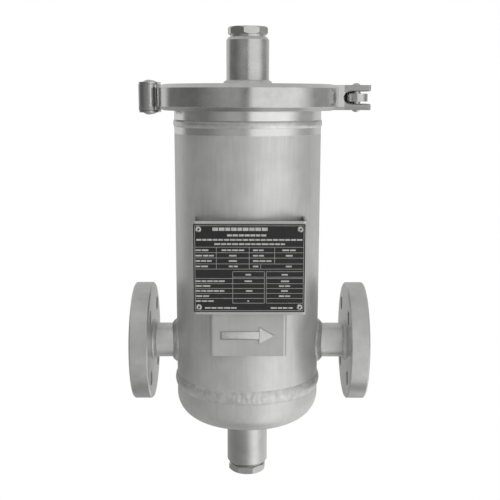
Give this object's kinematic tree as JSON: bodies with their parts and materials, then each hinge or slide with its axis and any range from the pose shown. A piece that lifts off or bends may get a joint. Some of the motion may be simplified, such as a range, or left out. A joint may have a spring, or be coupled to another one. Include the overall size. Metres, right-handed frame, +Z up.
{
  "type": "pot strainer",
  "caption": "Upright stainless pot strainer with flanged inlet and outlet, domed cover held by a hinged V-groove clamp with a swing bolt, lift-out basket, vent and drain plugs.",
  "frame": {"origin": "centre of the inlet flange's sealing face", "axes": "+X along the flow to the outlet flange, +Z up along the pot towards the cover"},
  "size_m": [0.226, 0.174, 0.4391],
  "materials": {
    "blasted_steel": "bead blasted and pickled stainless steel",
    "machined_steel": "turned stainless steel with fine tool marks",
    "cast_steel": "satin cast stainless steel",
    "screen_steel": "perforated and woven stainless steel",
    "plate_black": "black anodised sheet with bare ruled lines",
    "gasket": "matt black sealing rubber",
    "thread_tape": "white sealing tape"
  },
  "bodies": {
    "vessel": {"shell": "blasted_steel", "dished_end": "blasted_steel", "body_ferrule": "blasted_steel", "inlet_nozzle": "blasted_steel", "outlet_nozzle": "blasted_steel", "inlet_flange": "machined_steel", "outlet_flange": "machined_steel", "drain_socket": "machined_steel", "plate_bracket": "blasted_steel", "name_plate": "plate_black", "plate_rivets": "machined_steel", "flow_arrow_plate": "blasted_steel", "basket_seat": "machined_steel", "basket_rim": "screen_steel", "basket_screen": "screen_steel", "mesh_liner": "screen_steel", "basket_base": "screen_steel", "basket_handle": "screen_steel", "cover_gasket": "gasket", "cover": "blasted_steel", "vent_socket": "machined_steel", "clamp_rear_half": "cast_steel"},
    "hinge_link": {"hinge_link_upper": "cast_steel", "hinge_link_lower": "cast_steel", "hinge_pin_front": "machined_steel", "hinge_pin_rear": "machined_steel"},
    "clamp_front": {"clamp_front_half": "cast_steel", "eye_bolt_pin": "machined_steel"},
    "swing_bolt": {"eye_bolt": "machined_steel"},
    "nut_washer": {"clamp_washer": "machined_steel"},
    "clamp_nut": {"clamp_nut": "machined_steel"},
    "vent_seal": {"vent_thread_seal": "thread_tape"},
    "vent_plug": {"vent_plug": "machined_steel"},
    "drain_seal": {"drain_thread_seal": "thread_tape"},
    "drain_plug": {"drain_plug": "machined_steel"}
  },
  "joints": [
    {"name": "link_swing", "type": "hinge", "parent": "vessel", "child": "hinge_link", "pos_m": [0.0185, 0.0102, 0.2384], "axis": [0, 0, -1], "range_deg": [0, 1.6]},
    {"name": "clamp_front_swing", "type": "hinge", "parent": "hinge_link", "child": "clamp_front", "pos_m": [0.0185, -0.0102, 0.2384], "axis": [0, 0, -1], "range_deg": [0, 1.6]},
    {"name": "bolt_swing", "type": "hinge", "parent": "clamp_front", "child": "swing_bolt", "pos_m": [0.2123, -0.013, 0.2384], "axis": [0, 0, -1], "range_deg": [0, 120]},
    {"name": "nut_travel", "type": "slide", "parent": "swing_bolt", "child": "nut_washer", "axis": [0, 1, 0], "range_m": [0, 0.012]},
    {"name": "nut_turn", "type": "hinge", "parent": "nut_washer", "child": "clamp_nut", "pos_m": [0.2123, 0.023, 0.2384], "axis": [0, 1, 0], "range_deg": [0, 2880.1]},
    {"name": "vent_plug_rise", "type": "slide", "parent": "vessel", "child": "vent_seal", "axis": [0, 0, 1], "range_m": [0, 0.01616]},
    {"name": "vent_plug_turn", "type": "hinge", "parent": "vent_seal", "child": "vent_plug", "pos_m": [0.111, 0, 0.2937], "axis": [0, 0, 1], "range_deg": [0, 2520.1]},
    {"name": "drain_plug_drop", "type": "slide", "parent": "vessel", "child": "drain_seal", "axis": [0, 0, -1], "range_m": [0, 0.01616]},
    {"name": "drain_plug_turn", "type": "hinge", "parent": "drain_seal", "child": "drain_plug", "pos_m": [0.111, 0, -0.125], "axis": [0, 0, -1], "range_deg": [0, 2520.1]}
  ],
  "couplings": [
    {"joint": "nut_turn", "follows": "nut_travel", "rad_per_m": 4188.8},
    {"joint": "link_swing", "follows": "nut_travel", "rad_per_m": 2.322},
    {"joint": "clamp_front_swing", "follows": "nut_travel", "rad_per_m": 2.322},
    {"joint": "vent_plug_turn", "follows": "vent_plug_rise", "rad_per_m": 2721.2},
    {"joint": "drain_plug_turn", "follows": "drain_plug_drop", "rad_per_m": 2721.2}
  ]
}
